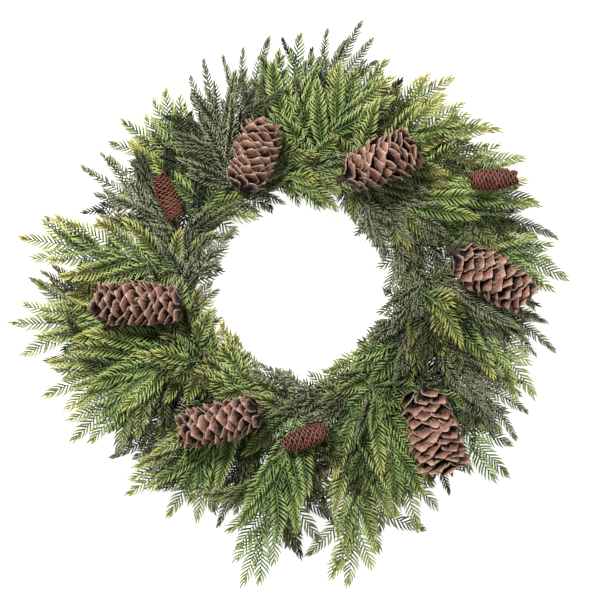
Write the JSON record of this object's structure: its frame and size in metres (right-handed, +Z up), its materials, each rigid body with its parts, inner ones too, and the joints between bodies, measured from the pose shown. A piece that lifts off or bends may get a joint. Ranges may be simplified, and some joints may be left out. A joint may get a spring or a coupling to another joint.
{
  "type": "pinecone wreath",
  "caption": "Round evergreen wreath of fir and spruce branches with pinecones on a twisted vine ring, lying on its back.",
  "frame": {"origin": "under the middle of the wreath's box, on the surface that it lies on", "axes": "+Z up and out of the wreath's front face; +Y towards the wreath's top as it hangs; +X to the viewer's right"},
  "size_m": [0.6094, 0.6182, 0.0999],
  "materials": {
    "vine": "dark brown bark, matte",
    "tie_wire": "dark green coated wire",
    "large_cone": "dry brown cone scales with pale edges",
    "small_cone": "reddish brown cone scales",
    "fir_needles": "moulded green needles with yellow-green tips",
    "spruce_needles": "moulded grey-green needles"
  },
  "bodies": {
    "root": {"fir_branch_01": "fir_needles", "fir_branch_02": "fir_needles", "fir_branch_03": "fir_needles", "fir_branch_04": "fir_needles", "fir_branch_05": "fir_needles", "fir_branch_06": "fir_needles", "fir_branch_07": "fir_needles", "fir_branch_08": "fir_needles", "fir_branch_09": "fir_needles", "fir_branch_10": "fir_needles", "fir_branch_11": "fir_needles", "fir_branch_12": "fir_needles", "fir_branch_13": "fir_needles", "fir_branch_14": "fir_needles", "fir_branch_15": "fir_needles", "fir_branch_16": "fir_needles", "fir_branch_17": "fir_needles", "fir_branch_18": "fir_needles", "fir_branch_19": "fir_needles", "fir_branch_20": "fir_needles", "fir_branch_21": "fir_needles", "fir_branch_22": "fir_needles", "fir_branch_23": "fir_needles", "fir_branch_24": "fir_needles", "fir_branch_25": "fir_needles", "fir_branch_26": "fir_needles", "large_cone_1": "large_cone", "large_cone_2": "large_cone", "large_cone_3": "large_cone", "large_cone_4": "large_cone", "large_cone_5": "large_cone", "large_cone_6": "large_cone", "small_cone_1": "small_cone", "small_cone_2": "small_cone", "small_cone_3": "small_cone", "spruce_branch_01": "spruce_needles", "spruce_branch_02": "spruce_needles", "spruce_branch_03": "spruce_needles", "spruce_branch_04": "spruce_needles", "spruce_branch_05": "spruce_needles", "spruce_branch_06": "spruce_needles", "spruce_branch_07": "spruce_needles", "spruce_branch_08": "spruce_needles", "spruce_branch_09": "spruce_needles", "spruce_branch_10": "spruce_needles", "spruce_branch_11": "spruce_needles", "spruce_branch_12": "spruce_needles", "spruce_branch_13": "spruce_needles", "spruce_branch_14": "spruce_needles", "spruce_branch_15": "spruce_needles", "spruce_branch_16": "spruce_needles", "spruce_branch_17": "spruce_needles", "spruce_branch_18": "spruce_needles", "vine_length_1": "vine", "vine_length_2": "vine", "vine_length_3": "vine", "wire_tie_1": "tie_wire", "wire_tie_2": "tie_wire", "wire_tie_3": "tie_wire", "wire_tie_4": "tie_wire"}
  },
  "joints": []
}
